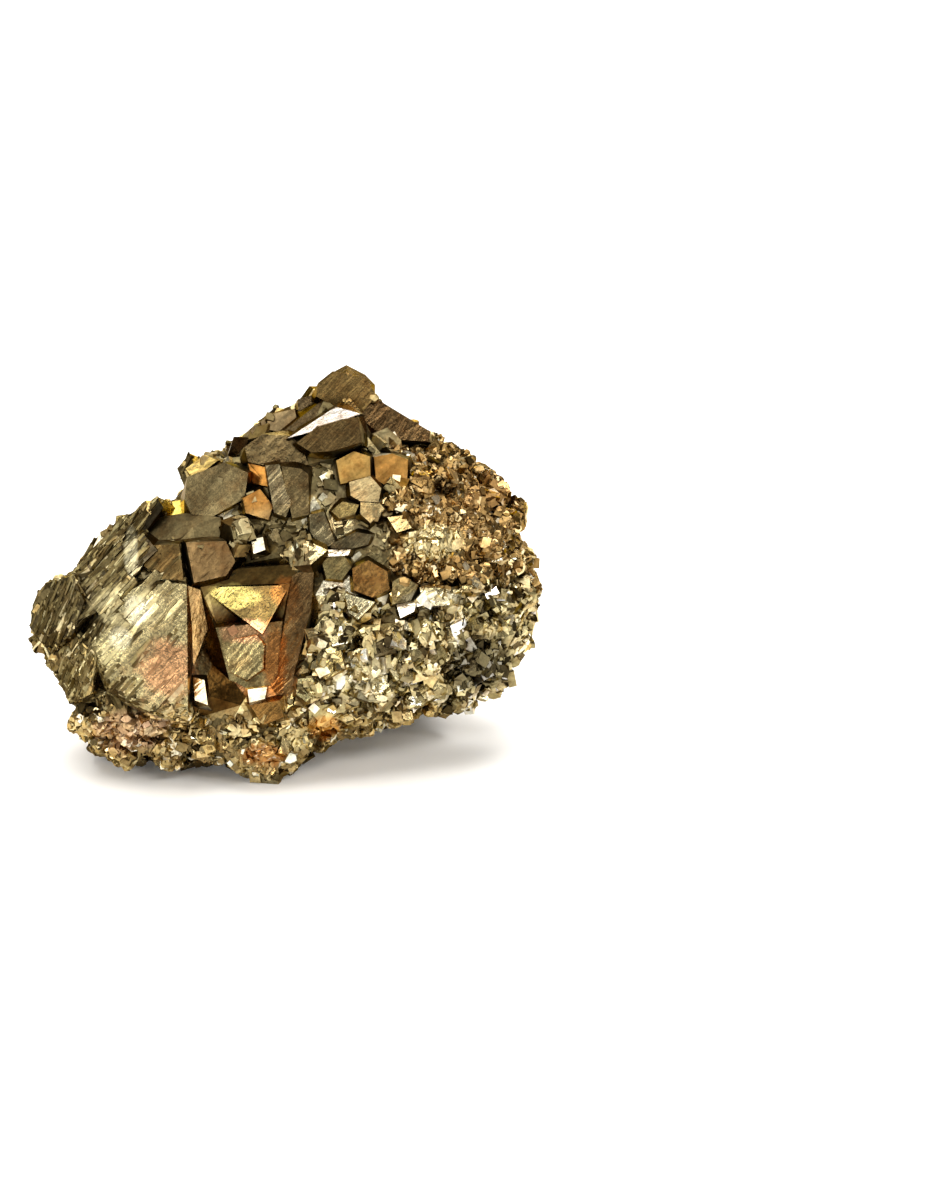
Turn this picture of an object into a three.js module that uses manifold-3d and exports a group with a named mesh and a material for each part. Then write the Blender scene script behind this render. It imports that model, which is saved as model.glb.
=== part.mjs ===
// A pyrite cluster, as found: blocky intergrown crystals on a knobbly mass, all one solid.
// Millimetres, +Z up, +X right and +Y back as the cluster is looked at from its front.
// The origin is under the middle of the cluster, on the surface that it rests on.
import * as THREE from "three";
import { ConvexGeometry } from "three/addons/geometries/ConvexGeometry.js";
import { mergeVertices } from "three/addons/utils/BufferGeometryUtils.js";
import Module from "manifold-3d";

const wasm = await Module();
wasm.setup();

// Places on the front are given as they are seen there: right and up across the line of sight,
// and back along the level. The line of sight comes down by LOOK_DOWN.
const LOOK_DOWN = THREE.MathUtils.degToRad(15);
const FRONT_FOOT_BACK = -22; // where the foremost foot meets the surface

// The mass under the crystals, widest at an outline that leans back towards its top.
const MIDDLE_UP = 33; // the height that the outline is measured around
const CORE_INSET = 1.6; // how far the mass stays inside the outline that its crystals reach
const FRONT_REACH = 23;
const BACK_REACH = 25;
const BULGE = 2.5; // 2 is an ellipsoid, more is boxier
const EDGE_SHARE = 0.97; // of the way to its edge, as far out as its front is worked out
const CORE_DETAIL = 4; // subdivisions of the icosahedron that the mass is shaped from
const ROUGHNESS = 1.3; // lumps and hollows of the mass

// The outline of the whole cluster, clockwise from its left tip: right, up.
const OUTLINE = [
  [-44.7, 28], [-44, 32.5], [-41.5, 36], [-37, 39], [-34, 41.5], [-33, 43.8], [-29, 46.5],
  [-22, 50.8], [-20.5, 48.6], [-17.4, 50], [-17.3, 55.8], [-13.8, 58.3], [-11, 58.3],
  [-8, 61.2], [-2.3, 65.2], [3.3, 68.2], [6.2, 69], [9, 72.4], [14.9, 71], [17.8, 65.8],
  [22, 63.3], [26, 61.6], [31.5, 59], [34.3, 57], [38.4, 51], [41, 50], [43.3, 46.5],
  [42.8, 42.5], [45, 35], [45, 31], [43.4, 25.5], [40, 20], [34.3, 14.8], [27.8, 13.2],
  [22, 10.8], [12.7, 9.2], [7.5, 8], [2, 3.8], [-3.5, 0.2], [-10.4, 3.2], [-15.4, 4.2],
  [-24.8, 4.5], [-28.3, 3.2], [-34.2, 7], [-38, 13.8], [-40, 18], [-43.2, 21.5], [-44.8, 24.5],
];

// Crystal faces that show by themselves on the front. Each row: how far the face stands out
// of the mass, how many degrees it is turned to the right and up, and its corners (right, up).
const LEFT_FACES = {
  block: [2.4, -8, 20, [
    [-16.8, 35.2], [-23.5, 36], [-30.3, 32], [-33, 25], [-30, 17], [-23.5, 13.5], [-16.8, 12.5],
  ]],
  outer_wing: [2.6, -45, 16, [
    [-44.6, 28], [-43.9, 32.3], [-41.4, 35.7], [-36.5, 37], [-34.5, 32.5], [-36.5, 27], [-40.5, 24],
  ]],
  upper_wing: [2.2, -36, 38, [
    [-33.4, 43.2], [-29, 46.3], [-22, 50.6], [-20.8, 48.6], [-24.2, 44.3], [-30.5, 37.6],
    [-36.5, 37.6],
  ]],
  inner_wing: [1.8, -22, 30, [
    [-24.4, 44.2], [-21.8, 41.2], [-30, 33.4], [-35.5, 29], [-34, 35], [-30, 39],
  ]],
  low_wing: [1.8, -42, -2, [[-41.5, 22.5], [-37.5, 27.5], [-33, 23.5], [-33.5, 16.5], [-37.5, 14.8]]],
  shoulder: [1.6, -14, 34, [
    [-24, 46.6], [-17, 47.6], [-11, 46.8], [-9.8, 43.6], [-16, 42], [-23, 42.6],
  ]],
  brown_left: [2, -16, 22, [[-23, 42], [-18, 42.2], [-17.3, 36], [-21, 36.2], [-24.2, 38.5]]],
  brown_right: [2, 14, 22, [[-16.8, 42.4], [-10, 42.6], [-8.4, 39], [-10, 36.6], [-15.5, 35.4]]],
};
const TOP_FACES = {
  yellow_flake: [1, 6, 40, [[-21.8, 46.8], [-21, 49.6], [-17.2, 50.2], [-17, 46.6]]],
  cube_roof: [2.2, -20, 56, [[-17.1, 55.6], [-13.8, 58.2], [-11.4, 57], [-15.6, 53.7]]],
  cube: [3, -12, 8, [
    [-17.2, 50], [-16.6, 53.9], [-10, 56.3], [-6, 54.4], [-6.7, 50], [-12.2, 47], [-16, 47.4],
  ]],
  dark_cube: [1.6, 14, 4, [[-9.4, 58.6], [-8.6, 61.2], [-5.8, 61], [-7.3, 57.8]]],
  bright_cube: [2.8, -4, 40, [[-10.2, 57.2], [-7.3, 57.6], [-7.4, 55.9], [-9.6, 55.7]]],
  broad_brown: [2.4, 3, 18, [
    [-6.6, 59], [-3.5, 61.2], [1.5, 60.9], [3.2, 59], [4.5, 56], [2.7, 54.4], [-2.3, 55.6], [-6, 56.4],
  ]],
  orange_side: [1.8, -26, 16, [[-6, 56.2], [-3, 55.4], [-2.4, 52], [-5.2, 52.6]]],
  brown_foot: [2, 8, 22, [[-7, 50], [-4, 51.6], [-1.8, 48.6], [-2.6, 46.2], [-6.5, 47.4]]],
  column_left: [3, -20, 14, [[-3, 55.6], [-0.6, 55.8], [1.4, 49], [0.4, 46.6], [-1.6, 47.4]]],
  column_right: [2.8, 14, 10, [[-0.2, 55.4], [3, 55], [4.4, 54], [4.5, 47], [1.5, 46.4]]],
  beige_near: [1.8, -10, 34, [[-2.4, 65], [2.2, 66], [2.8, 63], [0.2, 61.8], [-2.8, 62.4]]],
  beige_far: [1.6, -22, 30, [[2.8, 67.8], [6.2, 68.6], [6.3, 64.2], [2.9, 63.4]]],
  beige_small: [1.2, -18, 36, [[-5.7, 62.6], [-2.6, 64.8], [-2.9, 62.3], [-5.2, 61.4]]],
  cap: [2.4, 2, 6, [[6, 68], [6.4, 70.4], [9, 72.4], [15, 71], [16.6, 68], [14, 65], [9.6, 66.2]]],
  ridge: [2.8, 14, 16, [
    [10.5, 67.5], [16, 68], [18, 66], [22, 63.5], [26.2, 61.8], [26, 60], [20, 60.4], [15, 62],
    [12.4, 64.4],
  ]],
  white_ledge: [2.9, -31, 60, [[1, 60.4], [6.4, 63.6], [9.4, 65.9], [13.6, 64.4], [10, 63.3], [5, 61.4]]],
  dark_block: [3.6, -2, 6, [
    [2.4, 59.5], [6.4, 62.3], [10, 63.3], [13.2, 63.8], [13.8, 59.5], [8.5, 58], [5, 57.8],
  ]],
  right_slab: [1.6, 20, 46, [[26.4, 59.6], [31.6, 58.8], [34.2, 56.8], [30.5, 54.6], [25.6, 56.6]]],
};
const MIDDLE_FACES = {
  orange_left: [2.2, -8, 20, [[9.3, 56.4], [12.4, 58], [15.2, 57], [15.2, 53.5], [12, 53], [10, 52.3]]],
  orange_right: [2.2, 8, 22, [[15.9, 57], [19, 57.6], [21.9, 56.5], [21.6, 52.5], [19, 51.4], [16.2, 53]]],
  pale_upper: [3, -6, 32, [[11.5, 52.6], [15.2, 53.6], [17, 51.4], [16.5, 49], [13.4, 49.2], [11.7, 50.2]]],
  pale_lower: [3.2, 4, 30, [[13.4, 49], [16.6, 48.9], [17.5, 47.8], [15, 45.4], [13.3, 47]]],
  pale_side: [2.4, -12, 24, [[8.3, 47.6], [10.2, 49.2], [13.1, 48.6], [12.4, 47], [9.6, 46.3]]],
  pale_right: [2.4, 8, 24, [[18, 46.4], [21, 46.7], [22.2, 44.5], [19.6, 43.7]]],
  crescent_left: [1.4, -4, 10, [[4.5, 47], [7, 47.5], [7, 43.6], [9, 41.9], [6.5, 41.1], [4.6, 44]]],
  crescent_right: [1.4, 4, 10, [
    [8.5, 42], [12.5, 43.9], [15.3, 43.4], [14.6, 41.7], [10.5, 40.7], [8, 41.2],
  ]],
  white_lip: [2.4, -6, 52, [[6.3, 40.9], [11.6, 40.8], [11, 39.8], [7, 39.7]]],
  hex_olive: [1.8, -5, 8, [[6.4, 39.4], [10.4, 39.8], [11.6, 37.8], [10, 35.6], [7.3, 35.9]]],
  hex_brown: [2.2, -2, 14, [[11.8, 37.6], [14.6, 39], [17.8, 37], [18.2, 33.9], [15.2, 32.5], [12, 33.8]]],
  hex_beige: [2.4, 10, 10, [[18.7, 35.2], [20.3, 36.1], [23.2, 34.6], [21.9, 31.9], [18.6, 31.2]]],
  kite_pale: [2.2, -6, 26, [[10.5, 33.3], [15.7, 31.7], [12.7, 28.7], [11, 30]]],
  dark_chip: [2.2, -4, 44, [[-5.6, 42.8], [-3.6, 43.2], [-3.2, 41], [-5.2, 40.3]]],
};
const LOW_FACES = {
  bright_bar: [2.4, 8, 30, [[23.5, 34.2], [30.6, 33.6], [29.2, 31], [24, 30.9]]],
  bright_tip: [2.2, 20, 28, [[30.6, 37.2], [36, 37.6], [35.6, 33.9], [31, 33.7]]],
  white_chip: [2.8, 0, 48, [[19.4, 31.2], [23, 32], [22.4, 30], [20, 28.9]]],
  olive_right: [2.2, 4, 8, [[13.4, 27.6], [19, 28.1], [20.1, 24], [16, 22.2], [12.9, 24.4]]],
  olive_low: [2.2, 14, 8, [[22.2, 23.6], [27, 24.6], [28.4, 22], [25.5, 19.2], [22.8, 19.9]]],
  beige_low: [2.2, 16, 0, [[23.9, 19], [27.6, 19], [27.8, 15.2], [24.4, 15.4]]],
  beige_slim: [2, -4, 10, [[18.4, 22.2], [21.2, 22.6], [21.4, 18.6], [18.9, 18.4]]],
  beige_mid: [2.2, -6, 16, [[5.9, 23.2], [9.6, 23.4], [10.3, 20.4], [7, 18.4], [4.9, 20.4]]],
  pale_foot: [2, -4, 20, [[2.1, 18.6], [4.6, 18.8], [5.9, 16.5], [3.5, 14.7], [1.8, 16]]],
  pale_base: [1.8, 12, -8, [[3.9, 13.6], [8, 14.1], [10.2, 12], [7, 9.9], [4.1, 10.7]]],
};

// The large crystal in the hollow of the front, from its sunken walls to its proud faces.
const HOLLOW_FACES = {
  lower_face: [2.6, 4, 13, [
    [-12, 27.6], [-3.9, 27], [-0.4, 28.6], [-1.4, 23], [-1.4, 17.4], [-5, 14.6], [-9, 15.4],
  ]],
  gold_triangle: [4, 2, 22, [[-14.4, 34.6], [1, 35], [-3.9, 26.4]]],
  grey_hexagon: [3.6, -4, 15, [
    [-10.5, 23], [-9, 25.5], [-4.8, 26.2], [-3.6, 24.5], [-3.8, 20.4], [-6.7, 18.4], [-9.5, 19.9],
  ]],
  dark_sliver: [1.2, -32, 0, [[-14.1, 33.2], [-11.6, 26], [-8.5, 13.4], [-13, 12.6], [-14, 20]]],
  left_wall: [2, 40, 6, [[-17.2, 35.2], [-14.6, 34.2], [-13.4, 27.5], [-16.6, 19.2], [-17.4, 22]]],
  right_wall: [3.6, -34, 15, [
    [1.4, 36.6], [5.2, 37.8], [4.6, 31], [2.6, 24], [1, 17.6], [-0.8, 15], [-1.4, 18], [-1, 23],
    [0.2, 29],
  ]],
  roof: [4.2, 0, -24, [[-14.6, 34.8], [-8, 37.8], [1.5, 38.4], [2.1, 36.6], [1.2, 35.2]]],
  white_step: [2.4, -14, 42, [[-16, 19.2], [-14, 18.6], [-13.4, 14.4], [-15.6, 15.2]]],
  white_foot: [2.2, 4, 44, [[-6.6, 16.8], [-3.2, 17.2], [-3.8, 14.4], [-6.2, 13.7]]],
  brown_knob: [2.6, 4, 8, [[-6.2, 14.2], [-1, 15], [-0.4, 12], [-4, 10.8]]],
};
const HOLLOW = [-6, 27]; // the middle of the hollow, right and up
const HOLLOW_RADIUS = [11.5, 14];
const HOLLOW_DEPTH = 6.5;
const HOLLOW_RIM = [
  [-17.6, 35.4], [-14, 38.2], [2, 39], [5.6, 38], [4.8, 30], [0.6, 20], [-0.4, 11], [-17.6, 11.5],
];
const FACE_TABLES = [LEFT_FACES, TOP_FACES, MIDDLE_FACES, LOW_FACES, HOLLOW_FACES];
const ALL_FACES = FACE_TABLES.flatMap((table) => Object.values(table));

const FACE_FLARE = 0.35; // how much a crystal widens behind its front face, for each mm
const FACE_ROOT = 6; // how far a front crystal runs back, at least
const ROOT_SUNK = 3; // how deep in the mass it ends, at least

// Feet: right, back, the height of the middle, then the radii across, back and up.
const FEET = [
  [-4, -15.5, 4, 8, 7, 5],
  [-27, -6, 5, 9, 8, 6.5],
  [-14, 2, 6, 17, 14, 7],
  [6, 10, 7, 17, 12, 8],
  [-18, 15, 8, 12, 9, 9],
  [19, 24, 9, 11, 8, 10],
];

// Crystals that back the cap and the ridge at the top: the same, with half-widths for radii.
const CRESTS = [
  [11.6, 2.4, 63.4, 4.2, 5.4, 5],
  [20, 6, 54, 5, 6, 4.4],
  [2, 3, 56, 6, 6, 5],
];

// Striated ridges on the left, all along one direction, seen from the front.
const RIDGE_ANGLE = THREE.MathUtils.degToRad(47);
const RIDGE_COUNT = 14;
const RIDGE_MIDDLE = [-30, 31]; // right, up
const RIDGE_SPREAD = 17; // from the first ridge to the last
const LUMP_CORNERS = 26;

const GRAIN_TRIES = 9000;
const GRAIN_LIMIT = 170;
const GRAIN_SPACING = 0.86; // of the two sizes, halved
const GRAIN_OVERHANG = 1.4; // how far a grain may show outside the outline
const CORNER_REACH = 1.3; // how far a crystal reaches from its middle, as a share of its half-width
const FACE_CLEARANCE = 0.7; // the share of a grain's half-width that stays off the faces
const BACK_CRYSTALS = 10;
const BACK_SIZES = [5, 8];
const BACK_SPACING = 9;
const BACK_SUNK = 0.93; // of the way out to the surface of the mass
const SHORTEST_EDGE = 0.05; // edges below this are closed up when the solid is finished

// Repeatable random numbers from 0 to 1.
function randomFrom(seed) {
  let state = seed;
  return () => {
    state = (state + 0x6d2b79f5) | 0;
    let mixed = Math.imul(state ^ (state >>> 15), 1 | state);
    mixed = (mixed + Math.imul(mixed ^ (mixed >>> 7), 61 | mixed)) ^ mixed;
    return ((mixed ^ (mixed >>> 14)) >>> 0) / 4294967296;
  };
}

const between = (random, low, high) => low + (high - low) * random();

// A closed geometry as a solid that can be joined and cut.
function solidOf(geometry) {
  const bare = geometry.clone();
  bare.deleteAttribute("normal");
  bare.deleteAttribute("uv");
  const merged = mergeVertices(bare, 1e-4);
  const mesh = new wasm.Mesh({
    numProp: 3,
    vertProperties: new Float32Array(merged.attributes.position.array),
    triVerts: new Uint32Array(merged.index.array),
  });
  return new wasm.Manifold(mesh);
}

// A place seen from the front, in the cluster's own frame.
function seen(right, up, back) {
  const drop = (back - FRONT_FOOT_BACK) * Math.sin(LOOK_DOWN);
  return new THREE.Vector3(right, back, (up - drop) / Math.cos(LOOK_DOWN));
}

// The outline's distance from its middle, in a direction across the line of sight.
const OUTLINE_TURNS = OUTLINE.map(([right, up]) => {
  return { turn: Math.atan2(up - MIDDLE_UP, right), reach: Math.hypot(right, up - MIDDLE_UP) };
}).sort((a, b) => a.turn - b.turn);

function outlineReach(turn) {
  const count = OUTLINE_TURNS.length;
  let next = OUTLINE_TURNS.findIndex((corner) => corner.turn > turn);
  if (next < 0) next = 0;
  const a = OUTLINE_TURNS[(next + count - 1) % count];
  const b = OUTLINE_TURNS[next];
  const whole = (b.turn - a.turn + 2 * Math.PI) % (2 * Math.PI);
  const part = (turn - a.turn + 2 * Math.PI) % (2 * Math.PI);
  return a.reach + (b.reach - a.reach) * (part / whole) - CORE_INSET;
}

// How far back the outline lies: well forward at the foot, a little back at the top and right.
const outlineBack = (turn) => -4.5 + 10 * Math.sin(turn) + 2.5 * Math.cos(turn);

const lumps = (x, y, z) =>
  Math.sin(0.31 * x + 1.3) * Math.sin(0.37 * y + 0.4) * Math.sin(0.33 * z + 2.1) +
  0.6 * Math.sin(0.73 * x - 0.5) * Math.sin(0.67 * y + 1.9) * Math.sin(0.79 * z);

// The surface of the mass in a direction: x right, y back, z up, of length 1.
function coreSurface(direction) {
  const across = Math.hypot(direction.x, direction.z);
  const turn = Math.atan2(direction.z, direction.x);
  const scale = (across ** BULGE + Math.abs(direction.y) ** BULGE) ** (-1 / BULGE);
  const reach = outlineReach(turn) * scale * across;
  const reachBack = direction.y < 0 ? FRONT_REACH : BACK_REACH;
  const right = reach * Math.cos(turn);
  const up = MIDDLE_UP + reach * Math.sin(turn);
  const back = outlineBack(turn) * scale * across + reachBack * scale * direction.y;
  return seen(right, up, back + dent(right, up, direction.y));
}

// The hollow that the large crystal lies in.
function dent(right, up, facing) {
  if (facing > 0) return 0;
  const share = Math.hypot((right - HOLLOW[0]) / HOLLOW_RADIUS[0], (up - HOLLOW[1]) / HOLLOW_RADIUS[1]);
  return share < 1 ? HOLLOW_DEPTH * (1 - share ** 4) : 0;
}

// How far back the front of the mass lies where it is seen at (right, up).
function frontBack(right, up) {
  const turn = Math.atan2(up - MIDDLE_UP, right);
  const share = Math.min(EDGE_SHARE, Math.hypot(right, up - MIDDLE_UP) / outlineReach(turn));
  const bulge = FRONT_REACH * (1 - share ** BULGE) ** (1 / BULGE);
  return outlineBack(turn) * share - bulge + dent(right, up, -1);
}

function coreMass() {
  const geometry = new THREE.IcosahedronGeometry(1, CORE_DETAIL);
  const position = geometry.attributes.position;
  const direction = new THREE.Vector3();
  for (let i = 0; i < position.count; i++) {
    direction.fromBufferAttribute(position, i).normalize();
    const place = coreSurface(direction);
    const rough = ROUGHNESS * lumps(place.x, place.y, place.z);
    place.addScaledVector(direction, rough);
    position.setXYZ(i, place.x, place.y, place.z);
  }
  return solidOf(geometry);
}

// A place seen from the front, drawn in to the mass where it lies outside.
function insideOutline(right, up) {
  const out = Math.hypot(right, up - MIDDLE_UP);
  const reach = EDGE_SHARE * outlineReach(Math.atan2(up - MIDDLE_UP, right));
  const share = Math.min(1, reach / out);
  return [right * share, MIDDLE_UP + (up - MIDDLE_UP) * share];
}

// A crystal with one face as it is seen from the front, running back into the mass.
function frontCrystal([proud, turnedRight, turnedUp, corners]) {
  const sums = corners.reduce((sum, corner) => [sum[0] + corner[0], sum[1] + corner[1]], [0, 0]);
  const middle = sums.map((sum) => sum / corners.length);
  const base = frontBack(...middle) - proud;
  const slopes = [turnedRight, turnedUp].map((angle) => Math.tan(THREE.MathUtils.degToRad(angle)));
  const points = [];
  for (const corner of corners) {
    const [right, up] = corner.map((value, axis) => value - middle[axis]);
    const back = base + slopes[0] * right + slopes[1] * up;
    const flared = 1 + (FACE_FLARE * FACE_ROOT) / Math.hypot(right, up);
    const root = insideOutline(middle[0] + right * flared, middle[1] + up * flared);
    points.push(seen(...corner, back));
    points.push(seen(...root, Math.max(back + FACE_ROOT, frontBack(...root) + ROOT_SUNK)));
  }
  return solidOf(new ConvexGeometry(points));
}

// Crystal habits as the corners of a convex solid of about unit half-width.
const signs = [-1, 1];
const cubeCorners = signs.flatMap((x) => signs.flatMap((y) => signs.map((z) => [x, y, z])));

function cubeHabit() {
  return cubeCorners.map((corner) => new THREE.Vector3(...corner));
}

// Twelve five-sided faces: the cube's corners and a roof edge over each of its faces.
function pyritohedronHabit() {
  const roof = 1.5;
  const shift = 0.75;
  const points = cubeHabit();
  for (const a of signs) {
    for (const b of signs) {
      points.push(new THREE.Vector3(0, a * shift, b * roof));
      points.push(new THREE.Vector3(a * shift, b * roof, 0));
      points.push(new THREE.Vector3(b * roof, 0, a * shift));
    }
  }
  return points.map((point) => point.multiplyScalar(0.8));
}

// A cube with its corners cut back to the middles of its edges.
function cutCubeHabit() {
  const points = [];
  for (const a of signs) {
    for (const b of signs) {
      points.push(new THREE.Vector3(0, a, b), new THREE.Vector3(a, 0, b), new THREE.Vector3(a, b, 0));
    }
  }
  return points.map((point) => point.multiplyScalar(1.15));
}

const HABITS = [cubeHabit, cubeHabit, cutCubeHabit, cubeHabit, pyritohedronHabit];

// A crystal of a habit at a place, with its half-widths along its own three axes.
function crystal(habit, place, halfWidths, rotation) {
  const geometry = new ConvexGeometry(habit());
  geometry.scale(...halfWidths);
  geometry.applyQuaternion(rotation);
  geometry.translate(place.x, place.y, place.z);
  return solidOf(geometry);
}

function anyRotation(random) {
  const angles = [0, 0, 0].map(() => between(random, 0, 2 * Math.PI));
  return new THREE.Quaternion().setFromEuler(new THREE.Euler(...angles));
}

function anyDirection(random) {
  const height = between(random, -1, 1);
  const turn = between(random, -Math.PI, Math.PI);
  const across = Math.sqrt(1 - height * height);
  return new THREE.Vector3(across * Math.cos(turn), across * Math.sin(turn), height);
}

function insidePolygon(right, up, corners) {
  let inside = false;
  corners.forEach(([ax, ay], i) => {
    const [bx, by] = corners[(i + 1) % corners.length];
    if (ay > up !== by > up && right < ((bx - ax) * (up - ay)) / (by - ay) + ax) inside = !inside;
  });
  return inside;
}

// How a place is seen from the front: right and up.
function seenAt(place) {
  const drop = (place.y - FRONT_FOOT_BACK) * Math.sin(LOOK_DOWN);
  return [place.x, place.z * Math.cos(LOOK_DOWN) + drop];
}

// The half-width of the grains at a place: fine at the foot and right, coarse behind.
function grainSize(place, facingBack) {
  if (facingBack > 0.25) return 4.6;
  const [right, up] = seenAt(place);
  if (up < 12) return 1.7;
  if (right > 22) return 2;
  if (right < -18) return 2.2;
  return 2.3;
}

// Whether a grain would show outside the outline.
function breaksOutline(place, size) {
  const [right, up] = seenAt(place);
  const reach = outlineReach(Math.atan2(up - MIDDLE_UP, right)) + CORE_INSET;
  return Math.hypot(right, up - MIDDLE_UP) + CORNER_REACH * size > reach + GRAIN_OVERHANG;
}

// Whether a grain would lie over one of the faces that show by themselves.
function coversFace(place, size) {
  const [right, up] = seenAt(place);
  const reach = FACE_CLEARANCE * size;
  const probes = [[0, 0], [reach, 0], [-reach, 0], [0, reach], [0, -reach]];
  const kept = [HOLLOW_RIM, ...ALL_FACES.map((row) => row[3])];
  return kept.some((corners) => probes.some(([x, y]) => insidePolygon(right + x, up + y, corners)));
}

function grains() {
  const random = randomFrom(11);
  const kept = [];
  for (let i = 0; i < GRAIN_TRIES && kept.length < GRAIN_LIMIT; i++) {
    const direction = anyDirection(random);
    const place = coreSurface(direction);
    const size = grainSize(place, direction.y) * between(random, 0.7, 1.35);
    const rotation = anyRotation(random);
    const habit = HABITS[Math.floor(random() * HABITS.length)];
    const stretch = [between(random, 0.8, 1.1), between(random, 0.8, 1.1), between(random, 0.8, 1.3)];
    if (place.z < -1) continue;
    if (breaksOutline(place, size)) continue;
    if (direction.y < 0.1 && coversFace(place, size)) continue;
    if (kept.some((other) => other.place.distanceTo(place) < GRAIN_SPACING * (other.size + size))) continue;
    kept.push({ place, size, rotation, habit, stretch });
  }
  return kept.map(({ place, size, rotation, habit, stretch }) => {
    return crystal(habit, place, stretch.map((share) => share * size), rotation);
  });
}

// Large blocky crystals on the sides and the back, which no face list describes.
function backCrystals() {
  const random = randomFrom(29);
  const kept = [];
  while (kept.length < BACK_CRYSTALS) {
    const direction = anyDirection(random);
    const place = coreSurface(direction).multiplyScalar(BACK_SUNK);
    const size = between(random, ...BACK_SIZES);
    if (direction.y < 0.3 || place.z < 8 || breaksOutline(place, size)) continue;
    if (kept.some((other) => other.place.distanceTo(place) < BACK_SPACING)) continue;
    kept.push({ place, size, rotation: anyRotation(random) });
  }
  return kept.map(({ place, size, rotation }, i) => {
    return crystal(HABITS[i % HABITS.length], place, [size, size * 0.9, size * 0.8], rotation);
  });
}

// Long low ridges, side by side, on the left slope and the block under it.
function ridges() {
  const random = randomFrom(5);
  const along = new THREE.Vector2(Math.cos(RIDGE_ANGLE), Math.sin(RIDGE_ANGLE));
  const across = new THREE.Vector2(-along.y, along.x);
  return Array.from({ length: RIDGE_COUNT }, (_, i) => {
    const side = RIDGE_SPREAD * (i / (RIDGE_COUNT - 1) - 0.5);
    const shift = between(random, -8, 8);
    const half = between(random, 3.5, 7.5);
    const width = between(random, 0.7, 1.3);
    const lift = between(random, 1.8, 2.9);
    const middle = new THREE.Vector2(...RIDGE_MIDDLE);
    middle.addScaledVector(across, side).addScaledVector(along, shift);
    const points = [];
    for (const end of signs) {
      const tip = middle.clone().addScaledVector(along, end * half);
      const back = frontBack(tip.x, tip.y);
      points.push(seen(tip.x, tip.y, back - lift * between(random, 0.8, 1)));
      for (const edge of signs) {
        const foot = tip.clone().addScaledVector(across, edge * width);
        points.push(seen(foot.x, foot.y, back - 0.7 * lift));
        points.push(seen(foot.x, foot.y, back + 4));
      }
    }
    return solidOf(new ConvexGeometry(points));
  });
}

// A rounded, many-sided lump.
function lump([right, back, up, ...radii], seed) {
  const random = randomFrom(seed);
  const points = Array.from({ length: LUMP_CORNERS }, () => {
    const point = anyDirection(random);
    return point.set(right + point.x * radii[0], back + point.y * radii[1], up + point.z * radii[2]);
  });
  return solidOf(new ConvexGeometry(points));
}

// A twelve-sided crystal, the right way up.
function crest([right, back, up, ...halfWidths]) {
  const place = new THREE.Vector3(right, back, up);
  return crystal(pyritohedronHabit, place, halfWidths, new THREE.Quaternion());
}

// Everything below the surface that the cluster rests on, so that its feet are flat.
function belowTheSurface() {
  const size = 200;
  const slab = new THREE.BoxGeometry(size, size, size);
  slab.translate(0, 0, -size / 2);
  return solidOf(slab);
}

function cluster() {
  const pieces = [
    ...FEET.map((row, i) => lump(row, 40 + i)),
    ...CRESTS.map(crest),
    ...ALL_FACES.map(frontCrystal),
    ...ridges(),
    ...backCrystals(),
    ...grains(),
  ];
  const grown = pieces.reduce((whole, piece) => whole.add(piece), coreMass());
  const rested = grown.subtract(belowTheSurface()).asOriginal().simplify(SHORTEST_EDGE);
  const bodies = rested.decompose().sort((a, b) => b.volume() - a.volume());
  return bodies[0];
}

function geometryOf(solid) {
  const { vertProperties, triVerts } = solid.getMesh();
  const geometry = new THREE.BufferGeometry();
  geometry.setAttribute("position", new THREE.BufferAttribute(vertProperties, 3));
  geometry.setIndex(new THREE.BufferAttribute(triVerts, 1));
  geometry.computeVertexNormals();
  return geometry;
}

// Puts the origin under the middle of the cluster, on the surface that it rests on.
function centred(geometry) {
  geometry.computeBoundingBox();
  const { min, max } = geometry.boundingBox;
  geometry.translate(-(min.x + max.x) / 2, -(min.y + max.y) / 2, -min.z);
  return geometry;
}

const pyrite = new THREE.MeshStandardMaterial({
  color: 0x9c8148,
  roughness: 0.3,
  metalness: 1,
  flatShading: true,
});

const group = new THREE.Group();
const mesh = new THREE.Mesh(centred(geometryOf(cluster())), pyrite);
mesh.name = "pyrite_cluster";
group.add(mesh);

export default group;
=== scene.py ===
import math

import bmesh
import bpy
import numpy as np
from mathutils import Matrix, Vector
from mathutils.bvhtree import BVHTree


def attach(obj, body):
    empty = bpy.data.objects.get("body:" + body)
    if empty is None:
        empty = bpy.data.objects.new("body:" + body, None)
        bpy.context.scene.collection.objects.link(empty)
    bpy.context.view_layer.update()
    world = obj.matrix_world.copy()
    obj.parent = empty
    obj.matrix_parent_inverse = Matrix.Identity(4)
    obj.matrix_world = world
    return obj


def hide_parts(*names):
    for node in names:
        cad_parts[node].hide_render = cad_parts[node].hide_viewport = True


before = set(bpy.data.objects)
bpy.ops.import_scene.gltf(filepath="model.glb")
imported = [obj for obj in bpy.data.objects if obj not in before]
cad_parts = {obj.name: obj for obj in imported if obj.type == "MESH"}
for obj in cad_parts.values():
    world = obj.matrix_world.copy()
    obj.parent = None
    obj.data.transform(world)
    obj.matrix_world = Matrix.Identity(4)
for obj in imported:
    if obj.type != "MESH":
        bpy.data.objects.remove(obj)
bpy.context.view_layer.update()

MM = 0.001
SEED = 20
BODY = "root"
NODE = "pyrite_cluster"

# How the part's own outline is laid out: places on its front are right and up across the line of
# sight, in mm, before the part was centred on its box.
LOOK_DOWN = math.radians(15)
FRONT_FOOT_BACK = -22
CENTRED_RIGHT = 0.58
CENTRED_BACK = 0.11
TOWARDS_VIEWER = np.array([0, -math.cos(LOOK_DOWN), math.sin(LOOK_DOWN)])
ACROSS_UP = np.array([0, math.sin(LOOK_DOWN), math.cos(LOOK_DOWN)])
RIDGE_ANGLE = math.radians(47)

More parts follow.
